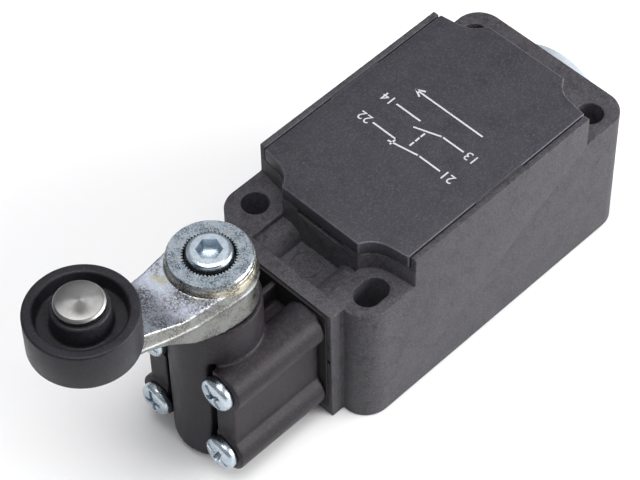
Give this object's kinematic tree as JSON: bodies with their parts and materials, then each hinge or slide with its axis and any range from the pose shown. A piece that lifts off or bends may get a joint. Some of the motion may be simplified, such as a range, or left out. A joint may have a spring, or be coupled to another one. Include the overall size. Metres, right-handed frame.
{
  "type": "limit switch",
  "caption": "Limit switch with a sprung roller lever on a screwed-on head, slotted mounting ears, an opening cover and a screwed-in block of contacts.",
  "frame": {"origin": "centre of the 30 x 60 mm mounting hole pattern, on the mounting face", "axes": "+Z out of the mounting face towards the cover, +Y along the body towards the head and lever"},
  "size_m": [0.04, 0.1334, 0.0648],
  "materials": {
    "housing_plastic": "glass-fibre filled, fine moulded grain, satin",
    "cover_plastic": "fine satin grain",
    "head_plastic": "smooth satin moulding",
    "plug_plastic": "natural pale plastic",
    "seal_rubber": "black rubber",
    "lever_zinc": "die-cast zinc, iridescent passivation",
    "ring_zinc": "sintered and zinc plated",
    "plated_screw": "bright zinc plating",
    "axle_steel": "turned stainless steel",
    "shaft_steel": "ground steel",
    "roller_plastic": "black wear-resistant plastic",
    "bush_bronze": "sintered bronze",
    "spring_steel": "spring wire",
    "block_plastic": "thermoset moulding",
    "slider_plastic": "smooth moulding",
    "contact_brass": "brass with silver contact faces"
  },
  "bodies": {
    "switch_body": {"enclosure": "housing_plastic", "entry_plug": "plug_plastic", "entry_seal": "seal_rubber", "head_housing": "head_plastic", "head_gasket": "seal_rubber", "head_screws": "plated_screw", "shaft_bush": "bush_bronze", "bush_clip": "spring_steel", "shaft_seal": "seal_rubber", "plunger_spring": "spring_steel", "contact_base": "block_plastic", "contact_cap": "block_plastic", "fixed_contacts": "contact_brass", "terminal_clamps": "plated_screw", "terminal_screws": "plated_screw", "block_screws": "plated_screw", "contact_spring": "spring_steel"},
    "cover": {"cover": "cover_plastic", "cover_gasket": "seal_rubber"},
    "lever": {"lever_arm": "lever_zinc", "serrated_ring": "ring_zinc", "lever_screw": "plated_screw", "cam_shaft": "shaft_steel", "roller_axle": "axle_steel", "roller_washer": "shaft_steel"},
    "roller": {"roller": "roller_plastic"},
    "plunger": {"plunger": "slider_plastic"},
    "slider": {"contact_slider": "slider_plastic", "contact_bridges": "contact_brass"}
  },
  "joints": [
    {"name": "lever_turn", "type": "hinge", "parent": "switch_body", "child": "lever", "pos_m": [0, 0.0548, 0.0442], "axis": [0, 0, 1], "range_deg": [-70, 70], "stiffness_Nm_per_rad": 0.15},
    {"name": "roller_spin", "type": "hinge", "parent": "lever", "child": "roller", "pos_m": [0, 0.08365, 0.05765], "axis": [0, 0, 1], "continuous": true},
    {"name": "plunger_slide", "type": "slide", "parent": "switch_body", "child": "plunger", "axis": [0, -1, 0], "range_m": [0, 0.0025], "stiffness_N_per_m": 600, "springref_m": -0.002, "deforming": ["plunger_spring"]},
    {"name": "contact_slide", "type": "slide", "parent": "switch_body", "child": "slider", "axis": [0, -1, 0], "range_m": [0, 0.0025], "stiffness_N_per_m": 300, "springref_m": -0.002, "deforming": ["contact_spring"]},
    {"name": "cover_open", "type": "hinge", "parent": "switch_body", "child": "cover", "pos_m": [0, -0.027, 0.037], "axis": [1, 0, 0], "range_deg": [0, 100]}
  ],
  "couplings": [
    {"joint": "contact_slide", "follows": "plunger_slide", "ratio": 1}
  ]
}
